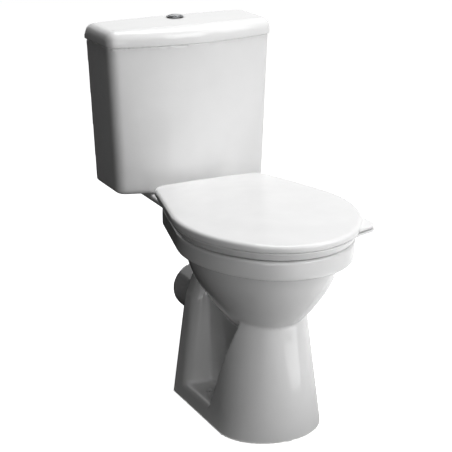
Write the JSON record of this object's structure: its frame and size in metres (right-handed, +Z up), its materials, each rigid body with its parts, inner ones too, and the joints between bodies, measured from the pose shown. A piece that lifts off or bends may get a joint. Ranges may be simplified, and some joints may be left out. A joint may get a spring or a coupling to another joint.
{
  "type": "close coupled toilet",
  "caption": "White glazed close coupled toilet: pedestal pan with horizontal outlet, bowed cistern, dual flush button, hinged seat and lid.",
  "frame": {"origin": "on the floor, under the middle of the overall length and width", "axes": "+Z up from the floor, -Y to the front of the seat, +Y to the wall, X across the pan"},
  "size_m": [0.37, 0.67, 0.7525],
  "materials": {
    "glazed_china": "gloss white glaze",
    "seat_plastic": "polished white moulding",
    "chrome_plate": "bright plate",
    "seal_rubber": "matt",
    "bright_steel": "zinc bright",
    "fixing_nylon": "moulded nylon",
    "valve_plastic": "moulded"
  },
  "bodies": {
    "root": {"pan": "glazed_china", "cistern": "glazed_china", "cistern_lid": "glazed_china", "button_housing": "chrome_plate", "coupling_doughnut": "seal_rubber", "cistern_pads": "seal_rubber", "coupling_bolt_seals": "seal_rubber", "flush_valve_washer": "seal_rubber", "fill_valve_washer": "seal_rubber", "coupling_bolts": "bright_steel", "coupling_plate_washers": "bright_steel", "coupling_wing_nuts": "bright_steel", "hinge_pins": "bright_steel", "flush_rocker_pin": "bright_steel", "fill_valve_lever_pin": "bright_steel", "hinge_posts": "fixing_nylon", "hinge_bolts": "fixing_nylon", "hinge_washers": "fixing_nylon", "hinge_nuts": "fixing_nylon", "flush_valve_backnut": "fixing_nylon", "fill_valve_backnut": "fixing_nylon", "button_housing_nut": "fixing_nylon", "flush_valve_body": "valve_plastic", "fill_valve_body": "valve_plastic", "fill_valve_head": "valve_plastic"},
    "seat": {"seat_ring": "seat_plastic", "seat_buffers": "seal_rubber"},
    "lid": {"seat_lid": "seat_plastic", "lid_buffers": "seal_rubber"},
    "full_flush": {"full_flush_button": "chrome_plate", "full_flush_rod": "valve_plastic"},
    "half_flush": {"half_flush_button": "chrome_plate", "half_flush_rod": "valve_plastic"},
    "core": {"flush_core": "valve_plastic", "flush_core_seal": "seal_rubber"},
    "rocker": {"flush_rocker": "valve_plastic"},
    "float": {"float_cup": "valve_plastic", "float_link": "bright_steel"},
    "fill_lever": {"fill_valve_lever": "valve_plastic"}
  },
  "joints": [
    {"name": "seat_hinge", "type": "hinge", "parent": "root", "child": "seat", "pos_m": [0, 0.121, 0.422], "axis": [-1, 0, 0], "range_deg": [0, 93]},
    {"name": "lid_hinge", "type": "hinge", "parent": "seat", "child": "lid", "pos_m": [0, 0.121, 0.422], "axis": [1, 0, 0], "range_deg": [-93, 0]},
    {"name": "full_flush_press", "type": "slide", "parent": "root", "child": "full_flush", "axis": [0, 0, -1], "range_m": [0, 0.006], "stiffness_N_per_m": 600, "springref_m": -0.002},
    {"name": "half_flush_press", "type": "slide", "parent": "root", "child": "half_flush", "axis": [0, 0, -1], "range_m": [0, 0.006], "stiffness_N_per_m": 600, "springref_m": -0.002},
    {"name": "flush_core_lift", "type": "slide", "parent": "root", "child": "core", "axis": [0, 0, 1], "range_m": [0, 0.006]},
    {"name": "flush_rocker_turn", "type": "hinge", "parent": "root", "child": "rocker", "pos_m": [-0.008, 0.256, 0.651], "axis": [0, 1, 0], "range_deg": [0, 23]},
    {"name": "float_rise", "type": "slide", "parent": "root", "child": "float", "axis": [0, 0, 1], "range_m": [0, 0.012]},
    {"name": "fill_lever_turn", "type": "hinge", "parent": "root", "child": "fill_lever", "pos_m": [0.132, 0.262, 0.627], "axis": [0, 1, 0], "range_deg": [0, 24.5]}
  ],
  "couplings": [
    {"joint": "flush_core_lift", "follows": "full_flush_press", "ratio": 1},
    {"joint": "flush_rocker_turn", "follows": "full_flush_press", "rad_per_m": 66.323},
    {"joint": "fill_lever_turn", "follows": "float_rise", "rad_per_m": 34.907}
  ]
}
